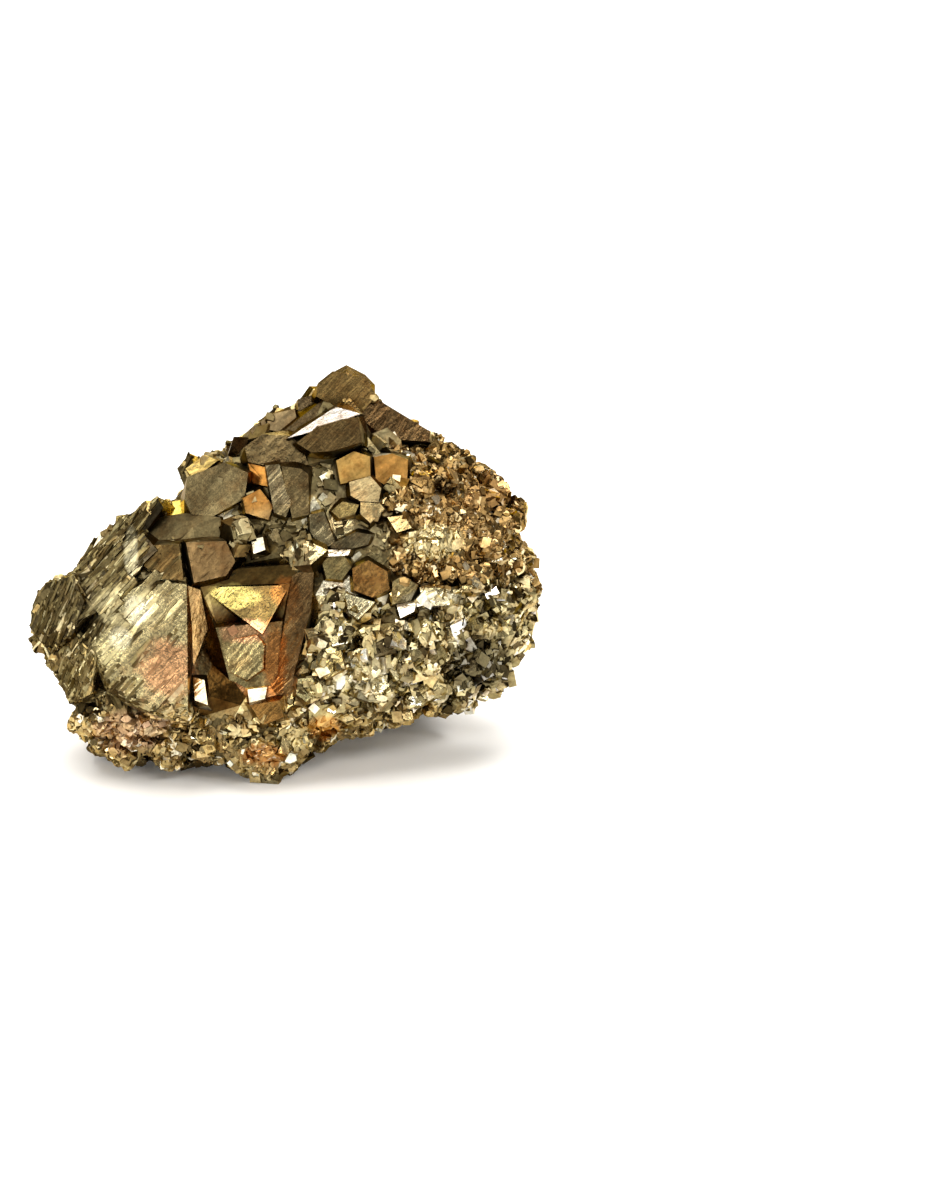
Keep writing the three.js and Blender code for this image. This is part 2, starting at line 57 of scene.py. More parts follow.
# The framing: the photograph's frame in pixels, and the cluster's place in it.
FRAME_PIXELS = (928, 1200)
CLUSTER_LEFT, CLUSTER_RIGHT = 28, 541
FOOT_ROW = 776
CLUSTER_WIDE = 92.8  # in mm, over those pixels
OUTLINE_BEHIND_FOOT = 16  # in mm: how far behind the front foot the outline lies
FOCAL_LENGTH = 110
SENSOR = 36

# The sizes of the patterns in the metal.
CLOUD_SIZE = 3.03 * MM
LINE_SPACING = 1.111 * MM
LINE_DEPTH = 0.3 * MM
BAND_WIDTH = 3.846 * MM
BLOCK_WIDTH = 1.333 * MM
SPECK_SIZE = 0.6667 * MM
# how far the painted shade in the seams reaches
SEAM_SHADE_REACH = 2.4 * MM
PIT_SIZE = 0.4545 * MM
PIT_DEPTH = 0.06 * MM

# How many times longer the lines and the blocks are than they are wide.
LINE_LENGTHENED = 10
BLOCK_LENGTHENED = 4

# How strongly the growth lines mark the large faces and the fine crystals.
LARGE_STRIATED = 0.5
FINE_STRIATED = 0.2
SPECK_ROUGHNESS = 0.18  # what the specks add to a face's roughness, at most
SPECKS_TAKEN_OFF = 0.13  # what a named face's own roughness leaves to them

# The facets of the solid: triangles within this angle make one, and one is seen on the front from
# this share of facing the viewer. Above this height up the front they have olive tones.
FLAT_ANGLE = math.radians(0.7)
SHARE_FACING = 0.12
OLIVE_ABOVE = 36


def linear(hex_colour):
    """An sRGB hex colour as linear red, green and blue."""
    values = [int(hex_colour[i:i + 2], 16) / 255 for i in (1, 3, 5)]
    return [v / 12.92 if v <= 0.04045 else ((v + 0.055) / 1.055) ** 2.4 for v in values]


def seen(places):
    """Places in mm, as (right, up) across the line of sight."""
    back = places[:, 1] + CENTRED_BACK - FRONT_FOOT_BACK
    up = places[:, 2] * math.cos(LOOK_DOWN) + back * math.sin(LOOK_DOWN)
    return np.column_stack([places[:, 0] + CENTRED_RIGHT, up])


def inside(spots, outline):
    """Which (right, up) spots lie in an outline."""
    result = np.zeros(len(spots), bool)
    corners = np.array(outline, float)
    for (ax, ay), (bx, by) in zip(corners, np.roll(corners, -1, axis=0)):
        crosses = (ay > spots[:, 1]) != (by > spots[:, 1])
        edge = (bx - ax) * (spots[:, 1] - ay) / (by - ay if by != ay else 1e-9) + ax
        result ^= crosses & (spots[:, 0] < edge)
    return result


# Finishes of the crystal faces that show by themselves. Each: the colour that the metal reflects, its
# roughness, how much of the crust grows over it, and its outline (right, up) in mm. The near-white ledge,
# lip, chips, step and foot carry painted highlights: they are coloured as those faces flash in the light.
FACE_FINISHES = {
    "left_block": ("#877b57", 0.30, 0.06, [
        (-16.8, 35.2), (-23.5, 36), (-29, 32), (-30.2, 27), (-27.5, 20.5), (-22.5, 16.8),
        (-16.8, 15.6)]),
    "wing": ("#4c4432", 0.34, 0.8, [
        (-45, 28), (-44, 32.5), (-41.4, 36), (-33.4, 43.4), (-22, 51), (-20.5, 48), (-24, 42),
        (-31, 33), (-36, 27), (-41, 23)]),
    "shoulder": ("#4c422b", 0.36, 0.03, [
        (-24, 46.8), (-17, 47.8), (-9.8, 46.8), (-9.8, 43.4), (-23, 42.4)]),
    "brown_left": ("#62502f", 0.34, 0.1, [(-23, 42), (-17.4, 42.2), (-17.2, 35.6), (-24.2, 38.5)]),
    "brown_right": ("#56442a", 0.34, 0.05, [
        (-17, 42.4), (-10, 42.6), (-8.4, 39), (-10, 36.6), (-15.5, 35.2)]),
    "yellow_flake": ("#e6d36a", 0.25, 0.0, [(-21.8, 46.6), (-21, 49.8), (-17, 50.4), (-17, 46.4)]),
    "cube_roof": ("#a08a52", 0.3, 0.0, [(-17.2, 55.6), (-13.8, 58.4), (-11.2, 57), (-15.6, 53.8)]),
    "cube": ("#706344", 0.3, 0.03, [
        (-17.4, 50), (-16.6, 53.8), (-10, 56.4), (-5.8, 54.4), (-6.6, 50), (-12.2, 46.8), (-16, 47.2)]),
    "dark_cube": ("#2c2115", 0.3, 0.0, [(-9.6, 58.6), (-8.6, 61.4), (-5.6, 61), (-7.2, 57.8)]),
    "broad_brown": ("#4c4029", 0.32, 0.0, [
        (-6.8, 59), (-3.5, 61.4), (1.5, 61), (3.2, 59), (4.7, 56), (2.7, 54.2), (-2.3, 55.4),
        (-6.2, 56.4)]),
    "orange_side": ("#96682f", 0.36, 0.0, [(-6.2, 56.2), (-3, 55.6), (-2.2, 52), (-5.4, 52.4)]),
    "brown_foot": ("#6a4a22", 0.34, 0.05, [
        (-7, 50), (-4, 51.8), (-1.6, 48.6), (-2.6, 46), (-6.6, 47.4)]),
    "column_left": ("#6b6046", 0.3, 0.0, [
        (-3.2, 55.8), (-0.4, 56), (1.4, 49), (0.4, 46.4), (-1.8, 47.2)]),
    "column_right": ("#7a6a48", 0.3, 0.0, [
        (-0.4, 55.6), (3, 55.2), (4.6, 54), (4.7, 46.8), (1.3, 46.2)]),
    "beige": ("#5a4c34", 0.3, 0.0, [
        (-6, 62.8), (-2.4, 65.2), (6.3, 69), (6.4, 63.8), (0, 61.6), (-5.3, 61.2)]),
    "cap": ("#80693f", 0.3, 0.0, [
        (4.6, 68), (5, 72), (9, 76), (17, 74), (18.4, 68.6), (16, 67.4), (14, 64.6), (9, 66)]),
    "ridge": ("#57442a", 0.3, 0.0, [
        (12, 66), (16, 68.2), (18, 66.2), (22, 63.8), (26.6, 62), (26.2, 59.8), (20, 60.2),
        (14.6, 61.8)]),
    # painted highlight: the ledge coloured near-white as it flashes in the light from above
    "ledge_highlight": ("#fffaf0", 0.3, 0.0, [
        (1, 60.2), (6.2, 63.8), (9.2, 66.2), (13.8, 64.6), (10, 63.1), (5, 61.2)]),
    "dark_block": ("#685535", 0.3, 0.0, [
        (2.2, 59.5), (6.4, 62.3), (10, 63.2), (13.4, 63.8), (14, 59.5), (8.5, 57.8), (5, 57.6)]),
    "orange_left": ("#9a7a42", 0.5, 0.0, [
        (9.1, 56.4), (12.4, 58.2), (15.3, 57), (15.4, 53.3), (10, 52.1)]),
    "orange_right": ("#7e5c2d", 0.5, 0.0, [
        (15.7, 57), (19, 57.8), (22.1, 56.5), (21.8, 52.3), (19, 51.2), (16, 53)]),
    "pale_upper": ("#92805a", 0.3, 0.05, [
        (11.3, 52.6), (15.2, 53.8), (17.2, 51.4), (16.7, 48.8), (11.5, 50)]),
    "pale_lower": ("#a08c60", 0.3, 0.05, [
        (13.2, 49.2), (16.8, 48.9), (17.7, 47.8), (15, 45.2), (13.1, 47)]),
    "pale_side": ("#94804f", 0.3, 0.05, [
        (8.1, 47.6), (10.2, 49.4), (13.3, 48.6), (12.6, 47), (9.6, 46.1)]),
    "pale_right": ("#b09c6c", 0.3, 0.05, [(17.8, 46.4), (21, 46.9), (22.4, 44.5), (19.6, 43.5)]),
    "crescent": ("#7d7254", 0.28, 0.0, [
        (4.3, 47), (7.2, 47.7), (7.4, 44), (9, 42.4), (12.5, 44.1), (15.5, 43.4), (14.6, 41.5),
        (6.5, 40.9)]),
    # painted glint along the lip
    "lip_highlight": ("#f0e8d4", 0.18, 0.0, [(6.3, 41), (11.6, 40.9), (11, 39.8), (7, 39.7)]),
    "hex_olive": ("#6d6240", 0.3, 0.0, [
        (6.2, 39.4), (10.4, 40), (11.8, 37.8), (10, 35.4), (7.1, 35.7)]),
    "hex_brown": ("#9a7440", 0.32, 0.0, [
        (11.6, 37.6), (14.6, 39.2), (18, 37), (18.4, 33.9), (15.2, 32.3), (11.8, 33.8)]),
    "hex_beige": ("#9a8a5e", 0.3, 0.1, [
        (18.5, 35.2), (20.3, 36.3), (23.4, 34.6), (22, 31.7), (18.4, 31)]),
    "kite_pale": ("#b4ac88", 0.25, 0.1, [(10.3, 33.4), (15.9, 31.7), (12.7, 28.5), (10.8, 30)]),
    # painted highlight: a small pale chip
    "upper_chip_highlight": ("#d8ceb4", 0.15, 0.0, [(-5.8, 43), (-3.4, 43.4), (-3, 40.8), (-5.4, 40.1)]),
    "bright_bar": ("#bfb182", 0.24, 0.3, [(23.3, 34.4), (30.8, 33.8), (29.4, 30.8), (23.8, 30.7)]),
    "bright_tip": ("#c0b07c", 0.26, 0.35, [(30.4, 37.4), (36.2, 37.8), (35.8, 33.7), (30.8, 33.5)]),
    # painted highlight on a chip
    "chip_highlight": ("#f6efdc", 0.15, 0.0, [(19.2, 31.3), (23.2, 32.2), (22.5, 29.9), (20, 28.7)]),
    "olive_right": ("#9c8c5c", 0.3, 0.35, [
        (13.2, 27.8), (19.1, 28.3), (20.3, 24), (16, 22), (12.7, 24.4)]),
    "olive_low": ("#857850", 0.3, 0.4, [(22, 23.8), (27, 24.8), (28.6, 22), (25.5, 19), (22.6, 19.8)]),
    "beige_low": ("#a89668", 0.28, 0.4, [(23.7, 19.2), (27.8, 19.2), (28, 15), (24.2, 15.2)]),
    "beige_slim": ("#a58e68", 0.28, 0.3, [(18.2, 22.4), (21.3, 22.8), (21.6, 18.4), (18.8, 18.2)]),
    "beige_mid": ("#a8945e", 0.28, 0.25, [
        (5.7, 23.4), (9.8, 23.6), (10.5, 20.4), (7, 18.2), (4.7, 20.4)]),
    "pale_foot": ("#bfb480", 0.28, 0.3, [(1.9, 18.8), (4.7, 19), (6.1, 16.5), (3.5, 14.5), (1.6, 16)]),
    "pale_base": ("#b8aa76", 0.28, 0.4, [(3.7, 13.8), (8, 14.3), (10.4, 12), (7, 9.7), (3.9, 10.5)]),
    "roof": ("#3d3018", 0.34, 0.03, [(-14.8, 34.9), (-8, 38), (1.5, 38.6), (2.3, 36.6), (1.2, 35)]),
    "gold_triangle": ("#5c4c2b", 0.26, 0.0, [(-14.6, 34.8), (1.2, 35.2), (-3.9, 26.2)]),
    "dark_sliver": ("#4a3416", 0.26, 0.0, [
        (-14.1, 33.4), (-11.4, 26), (-8.3, 13.2), (-13.2, 12.4), (-14.2, 20)]),
    "left_wall": ("#ccaa72", 0.3, 0.0, [
        (-17.4, 35.4), (-14.6, 34.4), (-13.2, 27.5), (-16.6, 19), (-17.6, 22)]),
    "lower_face": ("#a5764a", 0.3, 0.02, [
        (-12.2, 28.4), (-3.9, 26.9), (0.6, 31), (0.6, 23), (-0.4, 15.6), (-5, 14.4), (-9.2, 15.2)]),
    "grey_hexagon": ("#9c8d60", 0.3, 0.0, [
        (-9.4, 21), (-8.4, 24.8), (-5, 25.2), (-4.2, 21), (-6.7, 19.2)]),
    "right_wall": ("#836a45", 0.26, 0.0, [
        (1.2, 36.8), (5.4, 38), (4.8, 31), (2.8, 24), (1.2, 17.4), (-0.8, 14.8), (-1.6, 18),
        (-1.2, 23), (0, 29)]),
    # painted highlights on a step and on a crystal at the foot
    "step_highlight": ("#d4c8a8", 0.16, 0.0, [(-16.2, 19.4), (-13.8, 18.8), (-13.2, 14.2), (-15.8, 15)]),
    "foot_highlight": ("#d8ceb0", 0.16, 0.0, [(-6.8, 17), (-3, 17.4), (-3.6, 14.2), (-6.4, 13.5)]),
    "brown_knob": ("#8f6c3a", 0.3, 0.1, [(-6.4, 14.4), (-0.8, 15.2), (-0.2, 12), (-4, 10.6)]),
}

# Tarnish and fresh metal in soft-edged patches on the front, over large and fine crystals alike, with a
# dark patch in a pit and painted shade over the crevices at the right edge: colour, strength, middle
# (right, up) and radii in mm.
PATCHES = {
    "fresh_block": ("#c4b88a", 0.55, (-27, 31.5), (8, 5)),
    "fresh_block_low": ("#b6ab7c", 0.4, (-30, 24.5), (5, 4)),
    "bright_streak_high": ("#e8e0c0", 0.4, (-25.5, 31), (2.6, 3.6)),
    "bright_streak_low": ("#e4dcba", 0.35, (-28.5, 26), (2.8, 2.8)),
    "pink_block": ("#946c4a", 0.8, (-20.5, 20.5), (7, 8)),
    "streak_wing": ("#d8cfa8", 0.45, (-26.5, 41), (1.6, 5.5)),
    "dark_wing": ("#5c5238", 0.35, (-38, 33), (9, 7)),
    "orange_triangle": ("#8c5828", 0.55, (0.2, 33.5), (3, 4)),
    "fresh_triangle": ("#c8b868", 0.35, (-9, 33), (6, 3)),
    "orange_edge": ("#a4662e", 0.8, (-1.8, 22), (2.8, 10)),
    "pink_lower": ("#d89a70", 0.5, (-7, 27), (6, 3)),
    "dark_middle": ("#5f5336", 0.5, (-2, 45), (9, 5)),
    "gold_right": ("#b8935a", 0.25, (29, 45), (15, 14)),
    "pale_spot": ("#efe0a8", 0.5, (26, 42), (7, 4)),
    "rust_right": ("#7c5430", 0.3, (37, 51), (7, 5)),
    "dark_pit": ("#3a2a16", 0.8, (28, 51.8), (2.5, 2)),
    # painted shade: near-black over the crevices at the right edge
    "crevice_shade_right": ("#2c2618", 0.75, (34, 20.5), (8, 7)),
    "pale_chips": ("#ece2be", 0.5, (26, 32), (7, 2.5)),
    "orange_foot": ("#a0642c", 0.6, (-4, 5.5), (6, 3)),
    "orange_toe": ("#d09040", 0.6, (6.5, 10), (4, 3)),
    "pink_foot": ("#cca684", 0.5, (-27, 10), (9, 5)),
    "pale_flakes": ("#ece0b4", 0.3, (14, 18), (9, 6)),
    "pale_toe": ("#e0d098", 0.4, (1, 8), (5, 3)),
}
FRONT_BACK = -15
PATCH_DEPTH = 42

# The tones of the fine crystals, from the darkest to the brightest, and the share of each.
MIXED_TONES = ["#5e5236", "#8e7a50", "#b29c66", "#ccb680", "#dccb98", "#f4ecce"]
SILVERY_TONES = ["#4e442e", "#8c805a", "#b0a276", "#ccbe90", "#e2d8b4", "#faf4e0"]
OLIVE_TONES = ["#3c3420", "#5e5438", "#7c7050", "#988a62", "#bcae82", "#ece4c4"]
GOLDEN_TONES = ["#44371e", "#725c36", "#92774a", "#b49868", "#dac694", "#f8eecf"]
GREY_TONES = ["#42371f", "#54482c", "#685c3c", "#80734c", "#a0946a", "#c8bc92"]
TONE_SHARES = [0.18, 0.26, 0.24, 0.16, 0.10, 0.06]


def tone_colours(random, count, tones):
    """Random colours out of six tones, as linear values."""
    palette = np.array([linear(tone) for tone in tones])
    return palette[random.choice(len(palette), count, p=TONE_SHARES)]


def paint(mesh, face_colours, face_gloss):
    """Stores each face's colour and, as its alpha, its roughness."""
    sizes = np.zeros(len(mesh.polygons), int)
    mesh.polygons.foreach_get("loop_total", sizes)
    values = np.column_stack([face_colours, face_gloss])
    layer = mesh.color_attributes.new("face_finish", "FLOAT_COLOR", "CORNER")
    layer.data.foreach_set("color", np.repeat(values, sizes, axis=0).ravel().astype(np.float32))


def add_node(tree, kind, settings=None, links=None):
    """A shader node with its settings and its input values or links."""
    node = tree.nodes.new(kind)
    for name, value in (settings or {}).items():
        setattr(node, name, value)
    for name, value in (links or {}).items():
        if isinstance(value, bpy.types.NodeSocket):
            tree.links.new(value, node.inputs[name])
        else:
            node.inputs[name].default_value = value
    return node


def patched(tree, place, colour, cloud):
    """The colour with the patches mixed in, each an oval on the front with a broken edge."""
    for hex_colour, strength, (right, up), (wide, high) in PATCHES.values():
        drop = (FRONT_BACK + CENTRED_BACK - FRONT_FOOT_BACK) * math.sin(LOOK_DOWN)
        middle = (right - CENTRED_RIGHT, FRONT_BACK, (up - drop) / math.cos(LOOK_DOWN))
        oval = add_node(tree, "ShaderNodeMapping", {"vector_type": "TEXTURE"}, {
            "Vector": place, "Location": [value * MM for value in middle], "Rotation": (-LOOK_DOWN, 0, 0),
            "Scale": (wide * MM, PATCH_DEPTH * MM, high * MM)})
        inward = add_node(tree, "ShaderNodeTexGradient", {"gradient_type": "SPHERICAL"}, {
            "Vector": oval.outputs[0]})
        broken = add_node(tree, "ShaderNodeMath", {"operation": "MULTIPLY_ADD"}, {
            0: cloud, 1: 0.8, 2: inward.outputs["Fac"]})
        share = add_node(tree, "ShaderNodeMapRange", None, {
            "Value": broken.outputs[0], "From Min": 0.52, "From Max": 0.78,
            "To Min": 0, "To Max": strength})
        shown = add_node(tree, "ShaderNodeMath", {"operation": "GREATER_THAN"}, {
            0: inward.outputs["Fac"], 1: 0.02})
        amount = add_node(tree, "ShaderNodeMath", {"operation": "MULTIPLY"}, {
            0: share.outputs["Result"], 1: shown.outputs[0]})
        colour = add_node(tree, "ShaderNodeMix", {"data_type": "RGBA"}, {
            0: amount.outputs[0], 6: colour, 7: (*linear(hex_colour), 1)}).outputs[2]
    return colour


def tarnished(tree, colour, cloud):
    """The colour under brown tarnish in mottled clouds."""
    share = add_node(tree, "ShaderNodeMapRange", None, {
        "Value": cloud, "From Min": 0.45, "From Max": 0.66, "To Min": 0, "To Max": 0.5})
    return add_node(tree, "ShaderNodeMix", {"data_type": "RGBA", "blend_type": "MULTIPLY"}, {
        0: share.outputs["Result"], 6: colour, 7: (*linear("#b88c60"), 1)}).outputs[2]


def stretched(tree, place, times):
    """Places for a pattern that is stretched along the growth lines."""
    return add_node(tree, "ShaderNodeMapping", {"vector_type": "TEXTURE"}, {
        "Vector": place, "Rotation": (0, -RIDGE_ANGLE, 0), "Scale": (times, 1, 1)}).outputs[0]


def streaked(tree, place, colour, striated):
    """The colour in light and dark streaks along the growth lines, gathered in bands. The lines
    come back too."""
    along = stretched(tree, place, LINE_LENGTHENED)
    lines = add_node(tree, "ShaderNodeTexNoise", None, {
        "Vector": along, "Scale": 1 / LINE_SPACING, "Detail": 4}).outputs["Fac"]
    bands = add_node(tree, "ShaderNodeTexNoise", None, {
        "Vector": along, "Scale": 1 / BAND_WIDTH, "Detail": 1}).outputs["Fac"]
    both = add_node(tree, "ShaderNodeMath", {"operation": "ADD"}, {0: lines, 1: bands})
    tone = add_node(tree, "ShaderNodeMapRange", None, {
        "Value": both.outputs[0], "From Min": 0.8, "From Max": 1.25,
        "To Min": 1 - 0.68 * striated, "To Max": 1 + 0.62 * striated})
    toned = add_node(tree, "ShaderNodeMix", {"data_type": "RGBA", "blend_type": "MULTIPLY"}, {
        0: 1.0, 6: colour, 7: tone.outputs["Result"]})
    return toned.outputs[2], lines


def in_blocks(tree, place, colour, striated):
    """The colour as a mosaic of long blocks, some lighter and some darker."""
    blocks = add_node(tree, "ShaderNodeTexVoronoi", None, {
        "Vector": stretched(tree, place, BLOCK_LENGTHENED), "Scale": 1 / BLOCK_WIDTH})
    tone = add_node(tree, "ShaderNodeMapRange", None, {
        "Value": blocks.outputs["Color"], "To Min": 1 - 0.5 * striated, "To Max": 1 + 0.5 * striated})
    return add_node(tree, "ShaderNodeMix", {"data_type": "RGBA", "blend_type": "MULTIPLY"}, {
        0: 1.0, 6: colour, 7: tone.outputs["Result"]}).outputs[2]


def speckled(tree, colour, speck):
    """The colour with specks of dark oxide and of fresh metal."""
    tone = add_node(tree, "ShaderNodeMapRange", None, {
        "Value": speck, "From Min": 0.32, "From Max": 0.68, "To Min": 0.64, "To Max": 1.32})
    return add_node(tree, "ShaderNodeMix", {"data_type": "RGBA", "blend_type": "MULTIPLY"}, {
        0: 1.0, 6: colour, 7: tone.outputs["Result"]}).outputs[2]


def with_painted_seam_shade(tree, colour):
    """The colour with painted shade: darker where crystals meet and the surface closes in, by ambient
    occlusion.
    """
    seam = add_node(tree, "ShaderNodeAmbientOcclusion", {"samples": 6}, {"Distance": SEAM_SHADE_REACH})
    tone = add_node(tree, "ShaderNodeMapRange", None, {
        "Value": seam.outputs["AO"], "From Min": 0.2, "From Max": 0.85, "To Min": 0.42, "To Max": 1.0})
    return add_node(tree, "ShaderNodeMix", {"data_type": "RGBA", "blend_type": "MULTIPLY"}, {
        0: 1.0, 6: colour, 7: tone.outputs["Result"]}).outputs[2]


def stepped_and_pitted(tree, place, lines, striated):
    """The relief of the faces: low steps along the growth lines, and fine pits."""
    pits = add_node(tree, "ShaderNodeTexNoise", None, {
        "Vector": place, "Scale": 1 / PIT_SIZE, "Detail": 3})
    steps = add_node(tree, "ShaderNodeBump", None, {
        "Strength": striated, "Distance": LINE_DEPTH, "Height": lines})
    return add_node(tree, "ShaderNodeBump", None, {
        "Strength": 0.5, "Distance": PIT_DEPTH, "Height": pits.outputs["Fac"],
        "Normal": steps.outputs[0]}).outputs[0]


def pyrite_material(name, striated):
    """Pyrite: an opaque metal, pale brass where fresh and brown or orange where tarnished. Its faces are
    smooth and cut by fine growth lines, and the seams are darkened with painted shade."""
    material = bpy.data.materials.new(name)
    material.use_nodes = True
    tree = material.node_tree
    tree.nodes.clear()
    place = add_node(tree, "ShaderNodeTexCoord").outputs["Object"]
    finish = add_node(tree, "ShaderNodeAttribute", {"attribute_name": "face_finish"})
    cloud = add_node(tree, "ShaderNodeTexNoise", None, {
        "Vector": place, "Scale": 1 / CLOUD_SIZE, "Detail": 6, "Roughness": 0.65}).outputs["Fac"]
    speck = add_node(tree, "ShaderNodeTexNoise", None, {
        "Vector": place, "Scale": 1 / SPECK_SIZE, "Detail": 5, "Roughness": 0.7}).outputs["Fac"]

    colour = tarnished(tree, finish.outputs["Color"], cloud)
    colour = patched(tree, place, colour, cloud)
    colour, lines = streaked(tree, place, colour, striated)
    colour = in_blocks(tree, place, colour, striated)
    colour = speckled(tree, colour, speck)
    # painted shade: darker where crystals meet and the surface closes in
    colour = with_painted_seam_shade(tree, colour)
    roughness = add_node(tree, "ShaderNodeMath", {"operation": "MULTIPLY_ADD"}, {
        0: speck, 1: SPECK_ROUGHNESS, 2: finish.outputs["Alpha"]})
    relief = stepped_and_pitted(tree, place, lines, striated)

    # The specular tint keeps the faces that are seen edge-on from turning white.
    shader = add_node(tree, "ShaderNodeBsdfPrincipled", None, {
        "Base Color": colour, "Metallic": 1.0, "Roughness": roughness.outputs[0],
        "Specular Tint": (*linear("#d0bea0"), 1), "Normal": relief})
    add_node(tree, "ShaderNodeOutputMaterial", None, {"Surface": shader.outputs[0]})
    return material


def as_piece(name, mesh, material):
    """A finished piece of the cluster, which takes its finish from the pyrite slot."""
    piece = bpy.data.objects.new(name, mesh)
    bpy.context.scene.collection.objects.link(piece)
    mesh.materials.clear()
    mesh.materials.append(material)
    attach(piece, BODY)
    return piece


def facet_groups(bm, flat_angle):
    """The number of the flat facet that each triangle belongs to."""
    groups = np.full(len(bm.faces), -1)
    count = 0
    for start in bm.faces:
        if groups[start.index] >= 0:
            continue
        waiting = [start]
        groups[start.index] = count
        while waiting:
            face = waiting.pop()
            for edge in face.edges:
                if not edge.is_manifold or edge.calc_face_angle() > flat_angle:
                    continue
                for other in edge.link_faces:
                    if groups[other.index] < 0:
                        groups[other.index] = count
                        waiting.append(other)
        count += 1
    return groups, count


def facet_finishes(spots, facing):
    """The colour and the roughness of each flat facet, by its place on the front."""
    random = np.random.default_rng(SEED)
    colours = tone_colours(random, len(spots), MIXED_TONES)
    upper = (facing > 0) & (spots[:, 1] > OLIVE_ABOVE)
    colours[upper] = tone_colours(random, int(upper.sum()), OLIVE_TONES)
    gloss = random.uniform(0.16, 0.34, len(spots))
    for colour, rough, _, outline in FACE_FINISHES.values():
        on_face = inside(spots, outline) & (facing > SHARE_FACING)
        shade = random.uniform(0.85, 1.15, (int(on_face.sum()), 1))
        colours[on_face] = np.array(linear(colour)) * shade
        gloss[on_face] = rough - SPECKS_TAKEN_OFF
    return colours, gloss


def crystal_body(material):
    """The cluster's large crystals and its mass, each flat facet with a finish of its own."""
    bm = bmesh.new()
    bm.from_mesh(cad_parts[NODE].data)
    bmesh.ops.remove_doubles(bm, verts=bm.verts, dist=1e-6)
    bm.faces.ensure_lookup_table()
    groups, count = facet_groups(bm, FLAT_ANGLE)
    areas = np.array([face.calc_area() for face in bm.faces])
    middles = np.array([face.calc_center_median() for face in bm.faces]) / MM
    normals = np.array([face.normal for face in bm.faces])
    mesh = bpy.data.meshes.new("crystal_body")
    bm.to_mesh(mesh)
    bm.free()
    for polygon in mesh.polygons:
        polygon.use_smooth = False

    total = np.bincount(groups, areas, count)
    facet_middles = np.column_stack([
        np.bincount(groups, areas * middles[:, axis], count) / total for axis in range(3)])
    facing = np.bincount(groups, areas * (normals @ TOWARDS_VIEWER), count) / total
    colours, gloss = facet_finishes(seen(facet_middles), facing)
    paint(mesh, colours[groups], gloss[groups])
    piece = as_piece("crystal_body", mesh, material)
    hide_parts(NODE)
    return piece, middles, normals, areas / MM ** 2


def template(cuts):
    """A crystal of half-width 1: a cube cut by planes, each a direction and a distance."""
    bm = bmesh.new()
    bmesh.ops.create_cube(bm, size=2)
    for direction, distance in cuts:
        across = Vector(direction).normalized()
        geometry = bm.verts[:] + bm.edges[:] + bm.faces[:]
        bmesh.ops.bisect_plane(
            bm, geom=geometry, plane_co=across * distance, plane_no=across, clear_outer=True)
        bmesh.ops.holes_fill(bm, edges=bm.edges)
    bmesh.ops.recalc_face_normals(bm, faces=bm.faces)
    corners = np.array([vert.co for vert in bm.verts])
    bm.verts.index_update()
    faces = [[vert.index for vert in face.verts] for face in bm.faces]
    bm.free()
    return corners, faces


def crystal_templates():
    """Cubes, cubes with cut corners, and pyritohedra, which have twelve slanted faces."""
    corners = [(x, y, z) for x in (-1, 1) for y in (-1, 1) for z in (-1, 1)]
    one_cut = [(corners[7], 1.25)]
    two_cuts = [(corners[7], 1.2), (corners[4], 1.35)]
    four_cuts = [(corners[i], 1.3) for i in (0, 3, 5, 6)]
    slanted = [(direction, 0.9) for a in (-1, 1) for b in (-2, 2)
               for direction in ((0, a, b), (a, b, 0), (b, 0, a))]
    return [template(cuts) for cuts in ([], [], one_cut, two_cuts, four_cuts, slanted)]


def joined_crystals(name, grains, tree, random):
    """Many crystals as one mesh: each a template, turned, sized and sunk until its highest corner
    stands as proud as it should. Those that would overhang the mass or reach under the surface
    that it rests on are left out."""
    templates = crystal_templates()
    points, faces, face_colours, face_gloss = [], [], [], []
    start = 0
    for kind, place, normal, turn, half, proud, colour, rough in zip(*grains):
        corners, sides = templates[kind]
        shape = (corners * half) @ turn.T
        shape += place + normal * (proud - (shape @ normal).max())
        if shape[:, 2].min() < 0 or overhang(shape, tree) > proud + OVERHANG:
            continue
        points.append(shape)
        faces.extend([start + index for index in side] for side in sides)
        shades = random.uniform(0.72, 1.3, (len(sides), 1))
        face_colours.append(np.clip(colour * shades, 0, 0.95))
        face_gloss.append(np.clip(rough + random.uniform(-0.06, 0.06, len(sides)), 0.08, 0.6))
        start += len(corners)
    mesh = bpy.data.meshes.new(name)
    mesh.from_pydata(np.concatenate(points) * MM, [], faces)
    paint(mesh, np.concatenate(face_colours), np.concatenate(face_gloss))
    return mesh


def overhang(corners, tree):
    """How far the outermost of some corners stands off the mass, in mm."""
    furthest = 0
    for corner in corners:
        nearest, normal, _, distance = tree.find_nearest(Vector(corner))
        if distance > furthest and (Vector(corner) - nearest).dot(normal) > 0:
            furthest = distance
    return furthest


def scattered(random, triangles, normals, areas, count):
    """Random places over the surface in mm, with the normals there."""
    chosen = random.choice(len(areas), count, p=areas / areas.sum())
    a, b = random.random(count), random.random(count)
    over = a + b > 1
    a[over], b[over] = 1 - a[over], 1 - b[over]
    p0, p1, p2 = (triangles[chosen, i] for i in range(3))
    return p0 + a[:, None] * (p1 - p0) + b[:, None] * (p2 - p0), normals[chosen]


def any_turn(random, count):
    """Random rotation matrices."""
    q = random.normal(size=(count, 4))
    w, x, y, z = (q / np.linalg.norm(q, axis=1, keepdims=True)).T
    return np.array([
        [1 - 2 * (y * y + z * z), 2 * (x * y - z * w), 2 * (x * z + y * w)],
        [2 * (x * y + z * w), 1 - 2 * (x * x + z * z), 2 * (y * z - x * w)],
        [2 * (x * z - y * w), 2 * (y * z + x * w), 1 - 2 * (x * x + y * y)],
    ]).transpose(2, 0, 1)


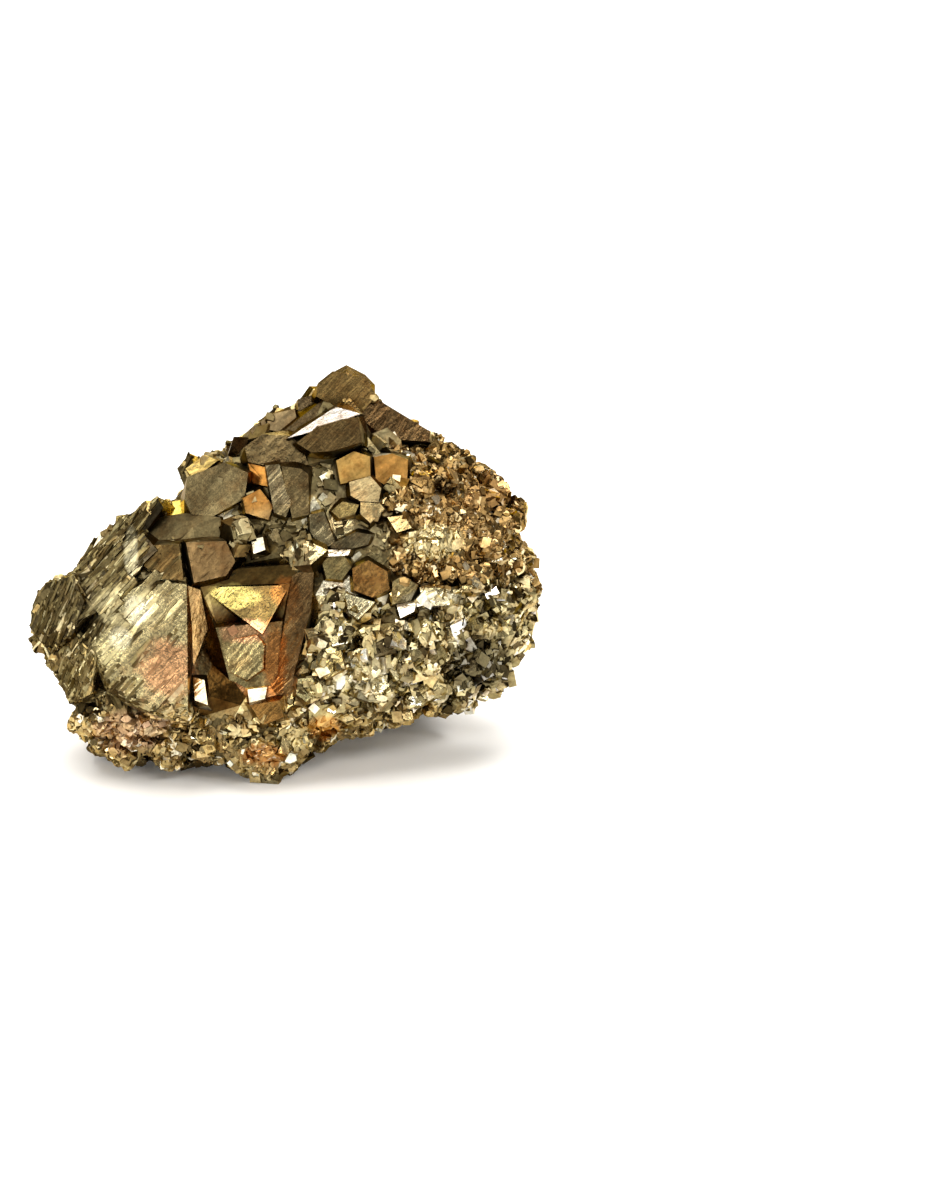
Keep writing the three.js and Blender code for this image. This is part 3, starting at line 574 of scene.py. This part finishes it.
def lying_turn(random, normals, along, tilt):
    """Rotation matrices that lay a crystal's length along a direction on the surface."""
    leaned = normals + random.normal(scale=tilt, size=normals.shape)
    up = leaned / np.linalg.norm(leaned, axis=1, keepdims=True)
    length = along - (along * up).sum(1, keepdims=True) * up
    length /= np.linalg.norm(length, axis=1, keepdims=True)
    return np.stack([length, np.cross(up, length), up], axis=2)


# How much further a crystal may stand off the mass at its sides than at its top, in mm.
OVERHANG = 0.35

# The crust by region: how many crystals are tried, their half-widths in mm, their proportions
# (length, width, height), how far they stand out in mm, how much they lean (None for any way up),
# whether they lie along the ridges, their roughness and their tones.
CRUST_REGIONS = {
    "crust_blades": dict(
        tries=14000, sizes=(0.2, 0.45), shape=(7, 1, 1), proud=(0.03, 0.22),
        lean=0.15, lies_along=True, rough=(0.24, 0.44), tones=GREY_TONES),
    "crust_sparkle": dict(
        tries=9000, sizes=(0.5, 1.1), shape=(1.3, 1, 0.9), proud=(0.1, 0.7),
        lean=None, lies_along=False, rough=(0.1, 0.3), tones=GOLDEN_TONES),
    "crust_flakes": dict(
        tries=8500, sizes=(0.6, 1.7), shape=(1.3, 1, 0.7), proud=(0.1, 0.85),
        lean=0.6, lies_along=False, rough=(0.1, 0.3), tones=SILVERY_TONES),
    "crust_foot": dict(
        tries=6000, sizes=(0.5, 1.1), shape=(1.2, 1, 0.9), proud=(0.1, 0.7),
        lean=None, lies_along=False, rough=(0.12, 0.32), tones=MIXED_TONES),
    "crust_middle": dict(
        tries=6500, sizes=(0.5, 1.3), shape=(1.3, 1, 0.8), proud=(0.05, 0.5),
        lean=0.4, lies_along=False, rough=(0.14, 0.34), tones=OLIVE_TONES),
    "crust_behind": dict(
        tries=9000, sizes=(0.7, 1.7), shape=(1.2, 1, 0.9), proud=(0.05, 0.6),
        lean=0.5, lies_along=False, rough=(0.12, 0.32), tones=MIXED_TONES),
}

# Nothing grows above this height up the front, in mm: the cap ends in a bare edge.
PEAK = 70.5

# The hollow's outline (right, up) in mm: its walls are bare, or nearly so.
HOLLOW = [
    (-17.4, 34), (-14, 38.5), (3, 39), (6, 37), (5, 28), (0, 16), (-4, 14), (-14, 13), (-17.2, 20)]
HOLLOW_COVER = 0.02

# Where the regions of the crust meet on the front, in mm.
BLADES_END_RIGHT = -17
FLAKES_START_RIGHT = 4
SPARKLE_START_RIGHT = 19
FLAKES_TOP = 34
FOOT_TOP = 13
TURNED_AWAY = -0.15  # the share of facing the viewer below which a place counts as behind
COVER_REACHES = -0.2  # the share of facing the viewer down to which a face's outline counts
LOWEST_GROWTH = 0.2  # in mm, above the surface that the cluster rests on


def region_of(spots, facing):
    """The number of the crust region that each place is in."""
    names = list(CRUST_REGIONS)
    right, up = spots.T
    result = np.full(len(spots), names.index("crust_middle"))
    result[(right > FLAKES_START_RIGHT) & (up < FLAKES_TOP)] = names.index("crust_flakes")
    result[(right > SPARKLE_START_RIGHT) & (up >= FLAKES_TOP)] = names.index("crust_sparkle")
    result[right < BLADES_END_RIGHT] = names.index("crust_blades")
    result[up < FOOT_TOP] = names.index("crust_foot")
    result[facing < TURNED_AWAY] = names.index("crust_behind")
    return result


def share_kept(places, facing, ends):
    """How likely a crystal is to be kept: few grow over the plain faces, and none reach over them."""
    chance = np.ones(len(places))
    covers = [(cover, outline) for _, _, cover, outline in FACE_FINISHES.values()]
    covers.append((HOLLOW_COVER, HOLLOW))
    for end in [0 * places] + ends:
        spots = seen(places + end)
        chance[spots[:, 1] > PEAK] = 0
        for cover, outline in covers:
            covered = inside(spots, outline) & (facing > COVER_REACHES)
            chance[covered] = np.minimum(chance[covered], cover)
    return chance


def crust(material, tree, triangles, middles, normals, areas):
    """The fine crystals that cover what the large faces leave, region by region."""
    random = np.random.default_rng(SEED + 1)
    regions = region_of(seen(middles), normals @ TOWARDS_VIEWER)
    ridge = math.cos(RIDGE_ANGLE) * np.array([1, 0, 0]) + math.sin(RIDGE_ANGLE) * ACROSS_UP
    for number, (name, rule) in enumerate(CRUST_REGIONS.items()):
        here = regions == number
        count = rule["tries"]
        places, outward = scattered(random, triangles[here], normals[here], areas[here], count)
        facing = outward @ TOWARDS_VIEWER
        if rule["lean"] is None:
            turns = any_turn(random, count)
        else:
            along = np.tile(ridge, (count, 1)) if rule["lies_along"] else random.normal(size=(count, 3))
            turns = lying_turn(random, outward, along, rule["lean"])
        sizes = random.uniform(*rule["sizes"], (count, 1))
        half_widths = sizes * np.array(rule["shape"]) * random.uniform(0.75, 1.25, (count, 3))
        ends = [np.einsum("nij,nj->ni", turns, 0.9 * half_widths * np.array([a, b, c]))
                for a in (-1, 1) for b in (-1, 1) for c in (-1, 1)]
        proud = random.uniform(*rule["proud"], count)
        colours = tone_colours(random, count, rule["tones"])
        gloss = random.uniform(*rule["rough"], count)
        kinds = random.integers(0, 6, count)
        kept = random.random(count) < share_kept(places, facing, ends)
        kept &= places[:, 2] > LOWEST_GROWTH
        grains = [values[kept] for values in (
            kinds, places, outward, turns, half_widths, proud, colours, gloss)]
        as_piece(name, joined_crystals(name, grains, tree, random), material)


def lit_table(name, hex_colour, roughness, glow):
    """A white translucent table lit from below: matt, with no pattern."""
    material = bpy.data.materials.new(name)
    material.use_nodes = True
    shader = material.node_tree.nodes["Principled BSDF"]
    shader.inputs["Base Color"].default_value = (*linear(hex_colour), 1)
    shader.inputs["Roughness"].default_value = roughness
    shader.inputs["Emission Color"].default_value = (*linear(hex_colour), 1)
    shader.inputs["Emission Strength"].default_value = glow
    return material


def add_floor():
    """A plain pale floor that reaches past the view from any side."""
    bm = bmesh.new()
    bmesh.ops.create_grid(bm, x_segments=1, y_segments=1, size=2.5)
    bmesh.ops.translate(bm, verts=bm.verts, vec=(0, 0.8, 0))
    mesh = bpy.data.meshes.new("floor")
    bm.to_mesh(mesh)
    bm.free()
    mesh.materials.append(lit_table("lit_table", "#f4f2ee", 0.8, 0.07))
    floor = bpy.data.objects.new("floor", mesh)
    bpy.context.scene.collection.objects.link(floor)


def add_area_light(name, place, target, size, watts, colour=(1, 1, 1)):
    """A soft rectangular light at a place, turned to a target."""
    light = bpy.data.lights.new(name, "AREA")
    light.shape = "RECTANGLE"
    light.size, light.size_y = size
    light.energy = watts
    light.color = colour
    lamp = bpy.data.objects.new(name, light)
    bpy.context.scene.collection.objects.link(lamp)
    lamp.location = place
    lamp.rotation_euler = (Vector(target) - Vector(place)).to_track_quat("-Z", "Y").to_euler()


def add_lights():
    """Soft studio light: a large box overhead, and smaller ones that make the facets flash."""
    middle = (0, 0, 0.03)
    add_area_light("overhead_box", (-0.1, 0, 1.1), middle, (1.6, 1.1), 21)
    add_area_light("left_box", (-0.8, -0.55, 0.5), middle, (0.3, 0.45), 4.5)
    add_area_light("right_strip", (0.8, -0.4, 0.4), middle, (0.12, 0.6), 3)
    add_area_light("front_strip", (0.15, -1.1, 0.75), middle, (0.5, 0.14), 4)
    add_area_light("front_left_spot", (-0.4, -0.95, 0.35), middle, (0.16, 0.16), 1.5)
    add_area_light("front_right_spot", (0.5, -0.8, 0.6), middle, (0.2, 0.2), 2)
    add_area_light("rear_box", (0.3, 0.9, 0.6), middle, (0.5, 0.3), 4)
    add_area_light("far_box", (0, 1.7, 0.9), (0, 1.5, 0), (2.6, 1), 22)
    world = bpy.data.worlds.new("studio")
    bpy.context.scene.world = world
    world.use_nodes = True
    background = world.node_tree.nodes["Background"]
    background.inputs["Color"].default_value = (*linear("#fff8ee"), 1)
    background.inputs["Strength"].default_value = 0.26


def add_camera():
    """A long lens at the photograph's angle, turned so that the cluster sits at the frame's left."""
    per_pixel = CLUSTER_WIDE / (CLUSTER_RIGHT - CLUSTER_LEFT)
    aim_right = (FRAME_PIXELS[0] / 2 - (CLUSTER_LEFT + CLUSTER_RIGHT) / 2) * per_pixel
    aim_up = (FOOT_ROW - FRAME_PIXELS[1] / 2) * per_pixel
    distance = FRAME_PIXELS[1] * per_pixel * FOCAL_LENGTH / SENSOR
    foot = Vector((-CENTRED_RIGHT, FRONT_FOOT_BACK, 0))
    up = Vector(ACROSS_UP)
    # Sizes are true at the depth of the outline.
    level = foot - Vector(TOWARDS_VIEWER) * OUTLINE_BEHIND_FOOT
    target = level + Vector((aim_right, 0, 0)) + up * aim_up
    place = level + Vector(TOWARDS_VIEWER) * distance + up * aim_up
    camera = bpy.data.cameras.new("camera")
    camera.lens = FOCAL_LENGTH
    camera.sensor_width = SENSOR
    camera.clip_start = 0.01
    view = bpy.data.objects.new("camera", camera)
    bpy.context.scene.collection.objects.link(view)
    view.location = place * MM
    view.rotation_euler = (target - place).to_track_quat("-Z", "Y").to_euler()
    bpy.context.scene.camera = view


def main():
    body_material = pyrite_material("pyrite_large_faces", LARGE_STRIATED)
    crust_material = pyrite_material("pyrite_fine_crystals", FINE_STRIATED)
    body, middles, normals, areas = crystal_body(body_material)
    corners = np.array([vertex.co for vertex in body.data.vertices]) / MM
    faces = [polygon.vertices[:] for polygon in body.data.polygons]
    tree = BVHTree.FromPolygons(corners.tolist(), faces)
    crust(crust_material, tree, corners[np.array(faces)], middles, normals, areas)
    add_floor()
    add_lights()
    add_camera()
    bpy.context.scene.view_settings.view_transform = "Standard"


main()
